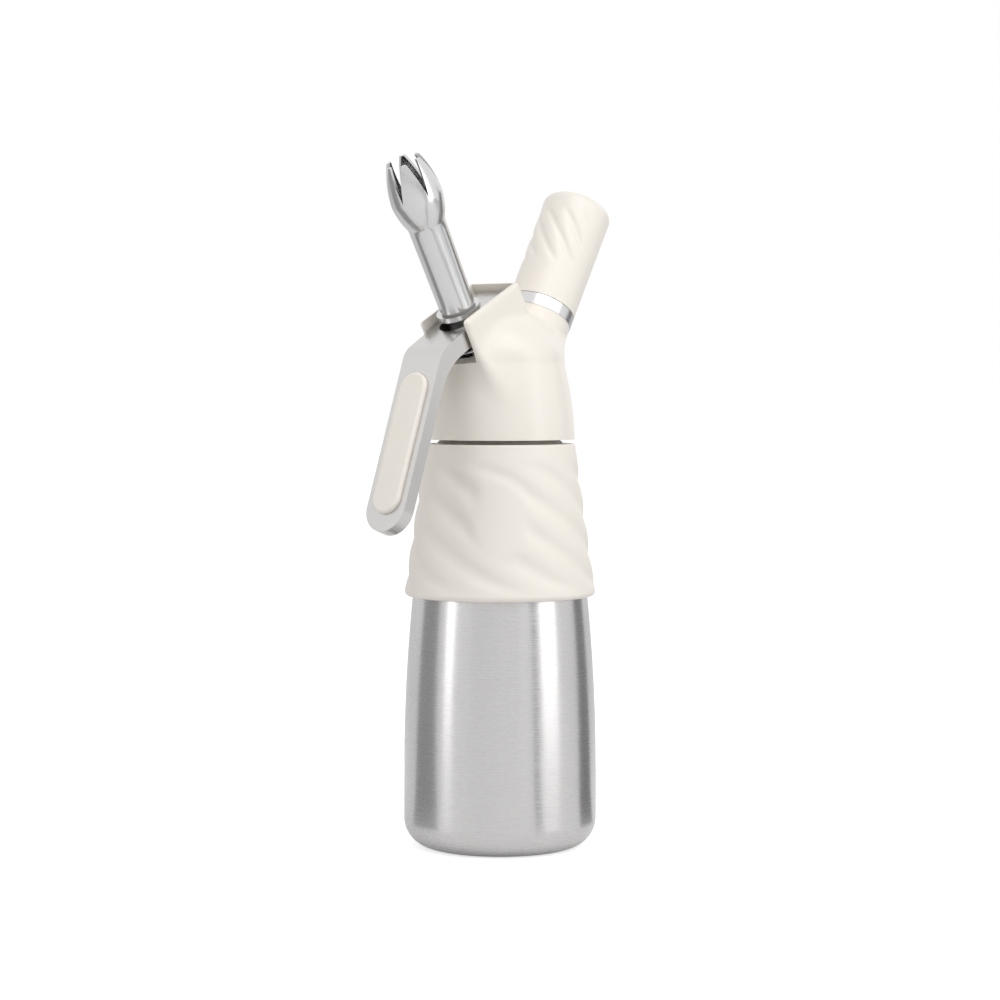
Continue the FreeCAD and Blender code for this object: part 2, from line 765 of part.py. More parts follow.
gas_charger = on_holder(turned("gas_charger", [
    (0, s.charger_bottom),
    (s.charger_neck, s.charger_bottom),
    (s.charger_neck, neck_end),
    (s.charger_radius, shoulder_end),
    (s.charger_radius, charger_top - s.charger_radius, s.charger_radius),
    (0, charger_top),
]))
liner_bottom = holder_bottom + s.running_fit * 2
liner_ledge = carrier_top + s.charger_gap
liner_ceiling = charger_top + s.seat_gap
liner_top = liner_ceiling + s.liner_cap
holder_liner = on_holder(turned("holder_liner", [
    (carrier_radius + s.liner_gap, liner_bottom),
    (liner_radius, liner_bottom),
    (liner_radius, liner_top),
    (0, liner_top),
    (0, liner_ceiling),
    (s.charger_radius + s.liner_gap, liner_ceiling),
    (s.charger_radius + s.liner_gap, liner_ledge),
    (carrier_radius + s.liner_gap, liner_ledge),
]))
holder_top = liner_top + s.running_fit + s.holder_cap
holder_top_radius = holder_radius + s.holder_flare
holder_shell = on_holder(turned("holder_shell", [
    (liner_radius + s.running_fit, holder_bottom),
    (holder_radius, holder_bottom),
    (holder_top_radius, holder_top - s.holder_edge, s.holder_edge),
    (holder_top_radius - s.holder_edge, holder_top),
    (0, holder_top),
    (0, liner_top + s.running_fit),
    (liner_radius + s.running_fit, liner_top + s.running_fit),
]))

NODES = [
    bottle, grip_sleeve, head_gasket, thread_insert, head_shell, lever_pin, valve_bush, valve_stem,
    valve_seal, valve_o_ring, valve_spring, nozzle_adapter, tip_washer, decorator_tip, lever,
    lever_pad, charger_collar, pin_carrier, check_valve, piercing_pin, pin_seal, gas_charger,
    holder_liner, holder_shell,
]
doc.recompute()
for item in doc.Objects:
    if "Invalid" in item.State or "Error" in item.State:
        raise RuntimeError(f"{item.Name} failed: {item.State}")
for node in NODES:
    if node.Shape.isNull() or not node.Shape.isValid():
        raise RuntimeError(f"{node.Label} has no valid shape")
for node in NODES:
    node.Shape.exportStep(f"parts/{node.Label}.step")
    print(f"{node.Label}: {len(node.Shape.Solids)} solid, {node.Shape.Volume:.0f} cubic mm")
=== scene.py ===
import json
import math

import bmesh
import bpy
import numpy as np
from mathutils import Matrix, Vector

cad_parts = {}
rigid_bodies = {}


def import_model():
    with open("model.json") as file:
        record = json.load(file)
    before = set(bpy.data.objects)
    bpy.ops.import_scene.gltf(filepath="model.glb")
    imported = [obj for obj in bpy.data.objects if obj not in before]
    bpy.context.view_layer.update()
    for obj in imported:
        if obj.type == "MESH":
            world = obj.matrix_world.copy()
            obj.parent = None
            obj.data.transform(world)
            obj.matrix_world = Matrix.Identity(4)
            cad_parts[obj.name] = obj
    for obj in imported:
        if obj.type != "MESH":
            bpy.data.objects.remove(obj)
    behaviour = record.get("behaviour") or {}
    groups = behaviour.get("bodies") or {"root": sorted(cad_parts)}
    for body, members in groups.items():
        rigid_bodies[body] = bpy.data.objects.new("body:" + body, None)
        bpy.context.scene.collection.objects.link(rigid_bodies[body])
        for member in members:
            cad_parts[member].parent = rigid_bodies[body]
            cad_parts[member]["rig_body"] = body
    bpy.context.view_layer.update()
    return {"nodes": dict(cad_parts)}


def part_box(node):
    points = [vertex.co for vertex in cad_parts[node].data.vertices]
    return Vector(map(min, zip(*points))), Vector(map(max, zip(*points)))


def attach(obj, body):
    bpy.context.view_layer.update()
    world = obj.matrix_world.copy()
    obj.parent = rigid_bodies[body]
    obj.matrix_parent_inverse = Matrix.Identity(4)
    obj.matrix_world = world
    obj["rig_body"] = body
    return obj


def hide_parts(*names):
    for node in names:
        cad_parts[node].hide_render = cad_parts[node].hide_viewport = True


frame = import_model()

nodes = frame["nodes"]
MM = 0.001


# The bottle: drawn stainless steel, turned to a fine grain that runs round it.
# Its wall is the CAD solid's own, welded and shaded smooth.
CLOUD_SCALE = 40
GRAIN_HEIGHT = 0.0002
COAT_ROUGHNESS = 0.12
LEAST_ROUGHNESS = 0.02
GRAIN_TURN = 0.25
MIX_FACTOR, MIX_LOW, MIX_HIGH, MIX_RESULT = 0, 6, 7, 2
WELD = 1e-6
FLAT = math.radians(1)
FITTING_ANGLE = 30


def fine_grain_group():
    """A grain that runs round an axis: the coordinate is squeezed along it, and noise is read."""
    group = bpy.data.node_groups.new("fine_grain", "ShaderNodeTree")
    group.interface.new_socket("Stretch", in_out="INPUT", socket_type="NodeSocketVector")
    group.interface.new_socket("Scale", in_out="INPUT", socket_type="NodeSocketFloat")
    group.interface.new_socket("Grain", in_out="OUTPUT", socket_type="NodeSocketFloat")
    group.interface.new_socket("Cloud", in_out="OUTPUT", socket_type="NodeSocketFloat")
    enter = group.nodes.new("NodeGroupInput")
    leave = group.nodes.new("NodeGroupOutput")
    place = group.nodes.new("ShaderNodeTexCoord")
    squeeze = group.nodes.new("ShaderNodeVectorMath")
    squeeze.operation = "MULTIPLY"
    fine = group.nodes.new("ShaderNodeTexNoise")
    fine.inputs["Detail"].default_value = 4
    cloud = group.nodes.new("ShaderNodeTexNoise")
    cloud.inputs["Scale"].default_value = CLOUD_SCALE
    cloud.inputs["Detail"].default_value = 3
    link = group.links.new
    link(place.outputs["Object"], squeeze.inputs[0])
    link(enter.outputs["Stretch"], squeeze.inputs[1])
    link(squeeze.outputs[0], fine.inputs["Vector"])
    link(enter.outputs["Scale"], fine.inputs["Scale"])
    link(place.outputs["Object"], cloud.inputs["Vector"])
    link(fine.outputs["Fac"], leave.inputs["Grain"])
    link(cloud.outputs["Fac"], leave.inputs["Cloud"])
    return group


grain_group = fine_grain_group()


def finish_material(name, base, roughness, metallic, stretch=(1, 1, 1), scale=900,
                    bump=0.02, rough_spread=0.05, tone_spread=0.03, coat=0.0, brushed=0.0):
    """A procedural finish: grain and cloud vary the tone and roughness, and the grain is felt."""
    material = bpy.data.materials.new(name)
    material.use_nodes = True
    tree = material.node_tree
    shader = tree.nodes["Principled BSDF"]
    shader.inputs["Metallic"].default_value = metallic
    shader.inputs["Coat Weight"].default_value = coat
    shader.inputs["Coat Roughness"].default_value = COAT_ROUGHNESS
    shader.inputs["Anisotropic"].default_value = brushed
    shader.inputs["Anisotropic Rotation"].default_value = GRAIN_TURN
    group = tree.nodes.new("ShaderNodeGroup")
    group.node_tree = grain_group
    group.inputs["Stretch"].default_value = stretch
    group.inputs["Scale"].default_value = scale
    tone = tree.nodes.new("ShaderNodeMix")
    tone.data_type = "RGBA"
    tone.inputs[MIX_LOW].default_value = (*[c * (1 - tone_spread) for c in base], 1)
    tone.inputs[MIX_HIGH].default_value = (*[min(1, c * (1 + tone_spread)) for c in base], 1)
    rough = tree.nodes.new("ShaderNodeMapRange")
    rough.inputs["From Min"].default_value = 0.3
    rough.inputs["From Max"].default_value = 0.7
    rough.inputs["To Min"].default_value = max(LEAST_ROUGHNESS, roughness - rough_spread)
    rough.inputs["To Max"].default_value = roughness + rough_spread
    feel = tree.nodes.new("ShaderNodeBump")
    feel.inputs["Strength"].default_value = bump
    feel.inputs["Distance"].default_value = GRAIN_HEIGHT
    link = tree.links.new
    link(group.outputs["Cloud"], tone.inputs[MIX_FACTOR])
    link(tone.outputs[MIX_RESULT], shader.inputs["Base Color"])
    link(group.outputs["Grain"], rough.inputs["Value"])
    link(rough.outputs["Result"], shader.inputs["Roughness"])
    link(group.outputs["Grain"], feel.inputs["Height"])
    link(feel.outputs["Normal"], shader.inputs["Normal"])
    return material


def linked(name, data):
    """A new object in the scene that holds the data."""
    thing = bpy.data.objects.new(name, data)
    bpy.context.scene.collection.objects.link(thing)
    return thing


def write_mesh(shape, mesh):
    shape.to_mesh(mesh)
    shape.free()


def dress(piece, material):
    piece.data.materials.clear()
    piece.data.materials.append(material)


def stand_for(piece, node, material, angle):
    """Smooth a piece up to an angle, dress it, and let it stand for a node and ride as it does."""
    mesh = piece.data
    mesh.polygons.foreach_set("use_smooth", [True] * len(mesh.polygons))
    mesh.set_sharp_from_angle(angle=math.radians(angle))
    dress(piece, material)
    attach(piece, nodes[node]["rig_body"])
    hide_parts(node)


def merged_copy(name, node, material, bevel=None, segments=3):
    """A welded copy of a node's mesh, with its hard edges rounded where a bevel is given."""
    mesh = nodes[node].data.copy()
    piece = linked(name, mesh)
    shape = bmesh.new()
    shape.from_mesh(mesh)
    bmesh.ops.remove_doubles(shape, verts=shape.verts, dist=WELD)
    bmesh.ops.dissolve_limit(shape, angle_limit=FLAT, verts=shape.verts, edges=shape.edges)
    write_mesh(shape, mesh)
    if bevel:
        round_edges = piece.modifiers.new("round_edges", "BEVEL")
        round_edges.width = bevel * MM
        round_edges.segments = segments
        round_edges.limit_method = "ANGLE"
        round_edges.angle_limit = math.radians(FITTING_ANGLE)
        round_edges.harden_normals = True
    stand_for(piece, node, material, FITTING_ANGLE)


brushed_steel = finish_material(
    "bottle_brushed_steel", (0.63, 0.62, 0.62), roughness=0.27, metallic=1.0,
    stretch=(1, 1, 70), scale=45, bump=0.02, rough_spread=0.04, tone_spread=0.02, brushed=0.75)
merged_copy("bottle_body", "bottle", brushed_steel)


# The grip: a cream silicone sleeve with nine left-handed ridges that swirl round it.
# They fade out at both plain rims, and a smooth oval stays bare on the camera's side.
# Its bore follows the bottle's shoulder.
CREAM = (0.88, 0.832, 0.762)
SLEEVE_STEPS = 360
SLEEVE_ROWS = 120
SLEEVE_BOTTOM_RADIUS = 39.6
SLEEVE_TOP_RADIUS = 31.2
SLEEVE_EDGE = 2
SLEEVE_EDGE_STEPS = 8
SLEEVE_LIP = 0.5
SLEEVE_FIT = 0.15
SLEEVE_FOOT_RISE = 74.5
SLEEVE_SKIN = 1.2
BORE_ROWS = 12
BOTTLE_RADIUS = 40
SHOULDER_RISE = 137
SHOULDER_DROP = 12.7
RIDGES = 9
RIDGE_PITCH = 21.8
RIDGE_DEPTH = 0.95
RIDGE_PHASE = -1.41
VALLEY_SHARPNESS = 1.3
RIDGES_START = 106
RIDGES_FULL_FROM = 113
RIDGES_FULL_TO = 154
RIDGES_END = 162
OVAL_TURN = math.radians(219)
OVAL_HEIGHT = 136.4
OVAL_HALF_WIDTH = 10.5
OVAL_HALF_HEIGHT = 15
OVAL_INNER = 0.8
OVAL_OUTER = 1.45
SPUN_WELD = 1e-7
SPUN_ANGLE = 50


def ease(value, low, high):
    """A smooth step from 0 at low to 1 at high."""
    share = min(1, max(0, (value - low) / (high - low)))
    return share * share * (3 - 2 * share)


def spun(name, profile, steps):
    """A closed solid of revolution from (radius, height) points in millimetres."""
    shape = bmesh.new()
    ring = [shape.verts.new((r * MM, 0, z * MM)) for r, z in profile]
    for first, second in zip(ring, ring[1:] + ring[:1]):
        shape.edges.new((first, second))
    bmesh.ops.spin(
        shape, geom=shape.verts[:] + shape.edges[:], axis=(0, 0, 1), cent=(0, 0, 0),
        steps=steps, angle=math.tau, use_merge=True)
    bmesh.ops.remove_doubles(shape, verts=shape.verts, dist=SPUN_WELD)
    bmesh.ops.recalc_face_normals(shape, faces=shape.faces)
    return shape, linked(name, bpy.data.meshes.new(name))


def around(vert):
    """A point's radius and height in millimetres, and its turn about the axis."""
    radius = math.hypot(vert.co.x, vert.co.y) / MM
    return radius, vert.co.z / MM, math.atan2(vert.co.y, vert.co.x) % math.tau


def swirl(turn, height, count, pitch, sharpness, phase=0):
    """The depth of the valleys between ridges that climb round a wall: 0 on a ridge, 1 between."""
    wave = math.cos(count * (turn + height / pitch) + phase)
    return ((1 - wave) / 2) ** sharpness


def sink(vert, radius, depth):
    """Move a point of a turned wall towards the axis."""
    shrunk = (radius - depth) / radius
    vert.co.x *= shrunk
    vert.co.y *= shrunk


sleeve_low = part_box("grip_sleeve")[0].z / MM
sleeve_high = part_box("grip_sleeve")[1].z / MM
sleeve_profile = []
for step in range(SLEEVE_EDGE_STEPS + 1):
    turn = math.radians(-90 + step * 90 / SLEEVE_EDGE_STEPS)
    sleeve_profile.append((
        SLEEVE_BOTTOM_RADIUS - SLEEVE_EDGE + SLEEVE_EDGE * math.cos(turn),
        sleeve_low + SLEEVE_EDGE + SLEEVE_EDGE * math.sin(turn)))
for row in range(1, SLEEVE_ROWS + 1):
    share = row / SLEEVE_ROWS
    sleeve_profile.append((
        SLEEVE_BOTTOM_RADIUS + (SLEEVE_TOP_RADIUS - SLEEVE_BOTTOM_RADIUS) * share,
        sleeve_low + SLEEVE_EDGE + (sleeve_high - SLEEVE_LIP - sleeve_low - SLEEVE_EDGE) * share))
sleeve_profile.append((SLEEVE_TOP_RADIUS - SLEEVE_LIP, sleeve_high))
for row in range(BORE_ROWS + 1):
    share = row / BORE_ROWS
    rise = SHOULDER_RISE - (SHOULDER_RISE - SLEEVE_FOOT_RISE) * share
    sleeve_profile.append((
        BOTTLE_RADIUS - SHOULDER_DROP * rise * rise / (SHOULDER_RISE * SHOULDER_RISE) + SLEEVE_FIT,
        sleeve_high + (sleeve_low - sleeve_high) * share))
shape, sleeve = spun("grip_sleeve_skin", sleeve_profile, SLEEVE_STEPS)
for vert in shape.verts:
    radius, height, turn = around(vert)
    wall = SLEEVE_BOTTOM_RADIUS + (SLEEVE_TOP_RADIUS - SLEEVE_BOTTOM_RADIUS) \
        * (height - sleeve_low) / (sleeve_high - sleeve_low)
    if radius < wall - SLEEVE_SKIN:
        continue
    valley = swirl(turn, height, RIDGES, RIDGE_PITCH, VALLEY_SHARPNESS, RIDGE_PHASE)
    fade = ease(height, RIDGES_START, RIDGES_FULL_FROM) * (1 - ease(height, RIDGES_FULL_TO, RIDGES_END))
    off_turn = (turn - OVAL_TURN + math.pi) % math.tau - math.pi
    oval = math.hypot(off_turn * radius / OVAL_HALF_WIDTH, (height - OVAL_HEIGHT) / OVAL_HALF_HEIGHT)
    fade *= ease(oval, OVAL_INNER, OVAL_OUTER)
    sink(vert, radius, RIDGE_DEPTH * valley * fade)
write_mesh(shape, sleeve.data)
cream_silicone = finish_material(
    "cream_silicone", CREAM, roughness=0.50, metallic=0.0, scale=1500, bump=0.03,
    tone_spread=0.01, rough_spread=0.03)
stand_for(sleeve, "grip_sleeve", cream_silicone, SPUN_ANGLE)


# The head: one cream moulding. A turned shell narrows to a waist, and flows into the cheeks
# beside the lever and into the tube that carries the charger holder.
CREAM_GLOSS = (0.885, 0.838, 0.762)
VERTEX = 177.0
TILT = math.radians(30)
HEAD_BASE = 169.4
HEAD_SKIRT = 8
HEAD_RADIUS = 30.9
HEAD_ANGLE = 40
WAIST_RISE = 31.6
WAIST_IN = 4.5
WAIST_CURVE = 1.9
DOME_START = 200
DOME_RISE = 21
DOME_CURVE = 2.2
DOME_LIMIT = 0.999
SHELL_PACE = 0.85
CHEEK_HALF = 13.0
CHEEK_FRONT = 11.4
CHEEK_REAR = 25.8
CHEEK_TOP = 52.5
CHEEK_TOP_SLOPE = 0.045
CHEEK_BOTTOM = 16
CHEEK_EDGE = 1.6
CHEEK_STRAIGHT = 30.0
CHEEK_TUCK = 0.4
CHEEK_TUCK_LENGTH = 30
FLARE = 0.28
FLARE_TOP = 38
FLARE_LENGTH = 25
FLARE_REAR = 28
FLARE_FADE = 22
TUBE_RADIUS = 14.1
TUBE_ROOT = 8
TUBE_END = 56
TUBE_FILLET = 9
CHEEK_FILLET = 7


def nozzle_frame(points):
    """(behind, across, along) of world points in millimetres, about the nozzle's axis."""
    x, y, z = points[:, 0], points[:, 1], points[:, 2] - VERTEX
    return x * math.cos(TILT) + z * math.sin(TILT), y, -x * math.sin(TILT) + z * math.cos(TILT)


def holder_frame(points):
    """The same about the holder's axis."""
    x, y, z = points[:, 0], points[:, 1], points[:, 2] - VERTEX
    return x * math.cos(TILT) - z * math.sin(TILT), y, x * math.sin(TILT) + z * math.cos(TILT)


def soft_join(first, second, reach):
    """The union of two distance fields, with a fillet of about that reach where they meet."""
    share = np.clip(0.5 + 0.5 * (second - first) / reach, 0, 1)
    return second + (first - second) * share - reach * share * (1 - share)


def head_field(points):
    """The distance, near enough, from the head's outer skin: negative inside."""
    radial = np.hypot(points[:, 0], points[:, 1])
    height = points[:, 2]
    rise = np.clip((height - HEAD_BASE) / WAIST_RISE, 0, 1)
    belly = HEAD_RADIUS - WAIST_IN * rise ** WAIST_CURVE
    top = np.clip((height - DOME_START) / DOME_RISE, 0, DOME_LIMIT)
    wall = belly * np.sqrt(1 - top ** DOME_CURVE)
    core = (radial - wall) * SHELL_PACE
    ends = np.maximum(HEAD_BASE - HEAD_SKIRT - height, height - (DOME_START + DOME_RISE))
    core = np.maximum(core, ends)
    behind, across, along = nozzle_frame(points)
    spread = np.clip((FLARE_REAR - behind) / FLARE_FADE, 0, 1)
    half = CHEEK_HALF + np.clip(FLARE_TOP - along, 0, FLARE_LENGTH) * FLARE * spread
    side = np.abs(across) - half
    front = -CHEEK_FRONT - behind
    back = behind - CHEEK_REAR + np.clip(CHEEK_STRAIGHT - along, 0, CHEEK_TUCK_LENGTH) * CHEEK_TUCK
    roof = along - CHEEK_TOP + behind * CHEEK_TOP_SLOPE
    low = CHEEK_BOTTOM - along
    edge = CHEEK_EDGE
    gaps = np.stack([side + edge, front + edge, back + edge, roof + edge, low + edge])
    block = np.linalg.norm(np.clip(gaps, 0, None), axis=0) + np.minimum(gaps.max(0), 0) - edge
    hx, hy, hz = holder_frame(points)
    tube = np.hypot(hx, hy) - TUBE_RADIUS
    tube = np.maximum(tube, np.maximum(TUBE_ROOT - hz, hz - TUBE_END))
    joined = soft_join(core, tube, TUBE_FILLET)
    return soft_join(joined, block, CHEEK_FILLET)


# The head's skin starts as a rough union of a shell, a block and a tube, a little too large.
# It becomes one even mesh, and its points slide in onto the field's surface.
ROUGH_BASE_RADIUS = 34
ROUGH_TOP_RADIUS = 30
ROUGH_HEIGHT = 56
ROUGH_MIDDLE = 189
ROUGH_BLOCK = (52, 32, 44)
ROUGH_BLOCK_MIDDLE = (-6, 212)
ROUGH_TUBE_RADIUS = 18
ROUGH_TUBE_LENGTH = 54
ROUGH_TUBE_MIDDLE = (16, 204.7)
HEAD_VOXEL = 0.9
SLOPE_PROBE = 0.05
LEAST_STEEP = 0.05
LONGEST_SLIDE = 4
SLIDE_PACE = 0.7
FIRST_SLIDES = 6
EVENING_ROUNDS = 12
RELAX_STEPS = 6
SLIDES_BETWEEN = 2


def upright(x, z):
    """A place in the plane of symmetry, from millimetres."""
    return Matrix.Translation((x * MM, 0, z * MM))


def tilted(side, behind, along):
    """A place on a slanted axis, from millimetres: behind it and along it from the vertex."""
    return upright(0, VERTEX) @ Matrix.Rotation(side * TILT, 4, "Y") @ upright(behind, along)


def add_round(shape, low_radius, high_radius, length, matrix, segments=64):
    bmesh.ops.create_cone(
        shape, cap_ends=True, segments=segments, radius1=low_radius * MM, radius2=high_radius * MM,
        depth=length * MM, matrix=matrix)


def add_box(shape, size, matrix):
    scale = Matrix.Diagonal((*[side * MM for side in size], 1))
    bmesh.ops.create_cube(shape, size=1, matrix=matrix @ scale)


shape = bmesh.new()
add_round(shape, ROUGH_BASE_RADIUS, ROUGH_TOP_RADIUS, ROUGH_HEIGHT, upright(0, ROUGH_MIDDLE))
add_box(shape, ROUGH_BLOCK, upright(*ROUGH_BLOCK_MIDDLE) @ Matrix.Rotation(-TILT, 4, "Y"))
add_round(
    shape, ROUGH_TUBE_RADIUS, ROUGH_TUBE_RADIUS, ROUGH_TUBE_LENGTH,
    upright(*ROUGH_TUBE_MIDDLE) @ Matrix.Rotation(TILT, 4, "Y"))
head = linked("head_moulding", bpy.data.meshes.new("head_moulding"))
write_mesh(shape, head.data)


def apply_modifiers(piece):
    """Replace the piece's mesh with its evaluated one, and drop the modifiers."""
    graph = bpy.context.evaluated_depsgraph_get()
    made = bpy.data.meshes.new_from_object(piece.evaluated_get(graph))
    piece.modifiers.clear()
    piece.data = made
    return made


def remeshed(piece, voxel):
    """Turn a rough union into one even mesh."""
    remesh = piece.modifiers.new("remesh", "REMESH")
    remesh.mode = "VOXEL"
    remesh.voxel_size = voxel * MM
    return apply_modifiers(piece)


def field_slope(points, field):
    """The field's slope at each point, from a small step each way along every axis."""
    steps = np.eye(3) * SLOPE_PROBE
    return np.stack(
        [(field(points + step) - field(points - step)) / (2 * SLOPE_PROBE) for step in steps], axis=1)


def slide_onto(mesh, field, rounds):
    """Slide every point of a mesh onto the field's zero surface."""
    points = np.empty(len(mesh.vertices) * 3)
    mesh.vertices.foreach_get("co", points)
    points = points.reshape(-1, 3) / MM
    for _ in range(rounds):
        value = field(points)
        slope = field_slope(points, field)
        steep = (slope ** 2).sum(1)
        step = value / np.clip(steep, LEAST_STEEP, None)
        points -= slope * np.clip(step, -LONGEST_SLIDE, LONGEST_SLIDE)[:, None] * SLIDE_PACE
    mesh.vertices.foreach_set("co", (points * MM).ravel())
    mesh.update()


def relax(mesh, rounds):
    """Even out a mesh's points, so that none bunch up in a crease."""
    shape = bmesh.new()
    shape.from_mesh(mesh)
    for _ in range(rounds):
        bmesh.ops.smooth_vert(
            shape, verts=shape.verts, factor=0.5, use_axis_x=True, use_axis_y=True, use_axis_z=True)
    write_mesh(shape, mesh)


skin = remeshed(head, HEAD_VOXEL)
slide_onto(skin, head_field, FIRST_SLIDES)
for _ in range(EVENING_ROUNDS):
    relax(skin, RELAX_STEPS)
    slide_onto(skin, head_field, SLIDES_BETWEEN)
relax(skin, 1)

# What is cut out of the head: the lever's slot, the flat base, the ring's seat on the holder's
# tube, the bore for the bottle's neck, and the valve's bore.
CUT_DEPTH = 40
SLOT_LENGTH = 54
SLOT_WIDTH = 22
SLOT_REAR = 24
SLOT_FLOOR = 34.6
SLOT_CORNER = 2.2
LONG_EDGE = 10
BASE_CUT_WIDTH = 120
RING_CUT_WIDTH = 60
RING_SEAT = 49.3
NECK_BORE_RADIUS = 24.95
NECK_BORE_TOP = 185.4
NECK_BORE_SEGMENTS = 96
VALVE_BORE_RADIUS = 9
VALVE_BORE_LENGTH = 32
VALVE_BORE_DROP = 15


def cut_away(piece, shapes):
    """Cut closed shapes out of a piece, one after another."""
    tools = []
    for shape in shapes:
        mesh = bpy.data.meshes.new("cutter")
        write_mesh(shape, mesh)
        tools.append(linked("cutter", mesh))
    for tool in tools:
        cut = piece.modifiers.new("cut", "BOOLEAN")
        cut.operation = "DIFFERENCE"
        cut.solver = "MANIFOLD"
        cut.object = tool
        apply_modifiers(piece)
    for tool in tools:
        bpy.data.objects.remove(tool)


slot_cut, base_cut, ring_cut, neck_bore, valve_bore = [bmesh.new() for _ in range(5)]
add_box(
    slot_cut, (SLOT_LENGTH, SLOT_WIDTH, CUT_DEPTH),
    tilted(-1, SLOT_REAR - SLOT_LENGTH / 2, SLOT_FLOOR + CUT_DEPTH / 2))
cross_edges = [e for e in slot_cut.edges if abs((e.verts[0].co - e.verts[1].co).y) > LONG_EDGE * MM]
bmesh.ops.bevel(
    slot_cut, geom=cross_edges, offset=SLOT_CORNER * MM, segments=5, profile=0.5,
    affect="EDGES", material=-1)
add_box(
    base_cut, (BASE_CUT_WIDTH, BASE_CUT_WIDTH, CUT_DEPTH), upright(0, HEAD_BASE - CUT_DEPTH / 2))
add_box(
    ring_cut, (RING_CUT_WIDTH, RING_CUT_WIDTH, CUT_DEPTH), tilted(1, 0, RING_SEAT + CUT_DEPTH / 2))
add_round(
    neck_bore, NECK_BORE_RADIUS, NECK_BORE_RADIUS, CUT_DEPTH,
    upright(0, NECK_BORE_TOP - CUT_DEPTH / 2), segments=NECK_BORE_SEGMENTS)
add_round(
    valve_bore, VALVE_BORE_RADIUS, VALVE_BORE_RADIUS, VALVE_BORE_LENGTH,
    tilted(-1, 0, SLOT_FLOOR - VALVE_BORE_DROP))
cut_away(head, [slot_cut, base_cut, ring_cut, neck_bore, valve_bore])
cream_plastic = finish_material(
    "cream_plastic", CREAM_GLOSS, roughness=0.34, metallic=0.0, scale=1200, bump=0.01,
    tone_spread=0.008, rough_spread=0.03, coat=0.15)
stand_for(head, "head_shell", cream_plastic, HEAD_ANGLE)

# The lever: bent steel plate, ground to a satin grain, with an even round along its edges.
# The long pad in its leg is the same silicone as the grip.
lever_steel = finish_material(
    "lever_satin_steel", (0.63, 0.62, 0.61), roughness=0.24, metallic=1.0, stretch=(60, 1, 1),
    scale=18, bump=0.01, rough_spread=0.02, tone_spread=0.01)
merged_copy("lever_bar", "lever", lever_steel, bevel=0.8)
merged_copy("lever_inlay", "lever_pad", cream_silicone)

# The bright fittings: polished metal at the nozzle, the ring, the valve and the pins.
# The thread's insert, the pin's carrier and the charger are plated.
# The tulip's tines have rounded lips.
polished = finish_material(
    "polished_steel", (0.68, 0.68, 0.68), roughness=0.2, metallic=1.0, scale=700, bump=0.004,
    rough_spread=0.03)
for name in ("nozzle_adapter", "charger_collar", "valve_stem", "valve_bush", "piercing_pin",
             "lever_pin", "valve_spring"):
    merged_copy(f"{name}_bright", name, polished)
merged_copy("tulip_nozzle", "decorator_tip", polished, bevel=0.3, segments=2)
plated = finish_material(
    "plated_metal", (0.76, 0.75, 0.72), roughness=0.18, metallic=1.0, scale=700)
merged_copy("carrier_plated", "pin_carrier", plated)
merged_copy("insert_steel", "thread_insert", plated)
merged_copy("charger_steel", "gas_charger", plated)

# The seals and washers: grey silicone and rubber, hidden in the head and under the nozzle.
# The liner of the holder is plain moulded plastic, the same as the head's.
seal_rubber = finish_material(
    "seal_rubber", (0.35, 0.34, 0.33), roughness=0.6, metallic=0.0, scale=900, bump=0.03)
for name in ("head_gasket", "valve_seal", "valve_o_ring", "tip_washer", "check_valve", "pin_seal"):
    merged_copy(f"{name}_soft", name, seal_rubber)
merged_copy("liner_plain", "holder_liner", cream_plastic)

# The charger holder: a cream cap with slanted flutes on the lever's side only.
# They fade at every end, and the rest of its wall is smooth.
HOLDER_STEPS = 240
HOLDER_ROWS = 100
HOLDER_LOW = 54.5
HOLDER_HIGH = 105.2
HOLDER_RADIUS = 14.35
HOLDER_TOP_RADIUS = 14.7
HOLDER_EDGE = 3.8
HOLDER_EDGE_STEPS = 10
HOLDER_BORE = 12.05
HOLDER_CEILING = 103.5
HOLDER_SKIN = 13.5
CROWN_RADIUS = 7
CROWN_RISE = 0.15
CROWN_TOP_RISE = 0.25
FLUTES = 10
FLUTE_PITCH = 17.4
FLUTE_DEPTH = 0.75
FLUTE_SHARPNESS = 2.2
FLUTE_FOOT = 54.2
FLUTES_START = 15
FLUTES_FULL_FROM = 22
FLUTES_FULL_TO = 36
FLUTES_END = 44
FLUTED_HALF_TURN = math.radians(58)
SMOOTH_HALF_TURN = math.radians(78)
holder_profile = [(HOLDER_BORE, HOLDER_LOW), (HOLDER_RADIUS, HOLDER_LOW)]
for row in range(1, HOLDER_ROWS + 1):
    share = row / HOLDER_ROWS
    holder_profile.append((
        HOLDER_RADIUS + (HOLDER_TOP_RADIUS - HOLDER_RADIUS) * share,
        HOLDER_LOW + (HOLDER_HIGH - HOLDER_EDGE - HOLDER_LOW) * share))
for step in range(1, HOLDER_EDGE_STEPS + 1):
    turn = math.radians(step * 90 / HOLDER_EDGE_STEPS)
    holder_profile.append((
        HOLDER_TOP_RADIUS - HOLDER_EDGE + HOLDER_EDGE * math.cos(turn),
        HOLDER_HIGH - HOLDER_EDGE + HOLDER_EDGE * math.sin(turn)))
holder_profile += [
    (CROWN_RADIUS, HOLDER_HIGH + CROWN_RISE),
    (0, HOLDER_HIGH + CROWN_TOP_RISE),
    (0, HOLDER_CEILING),
    (HOLDER_BORE, HOLDER_CEILING),
]
shape, holder = spun("holder_cap", holder_profile, HOLDER_STEPS)
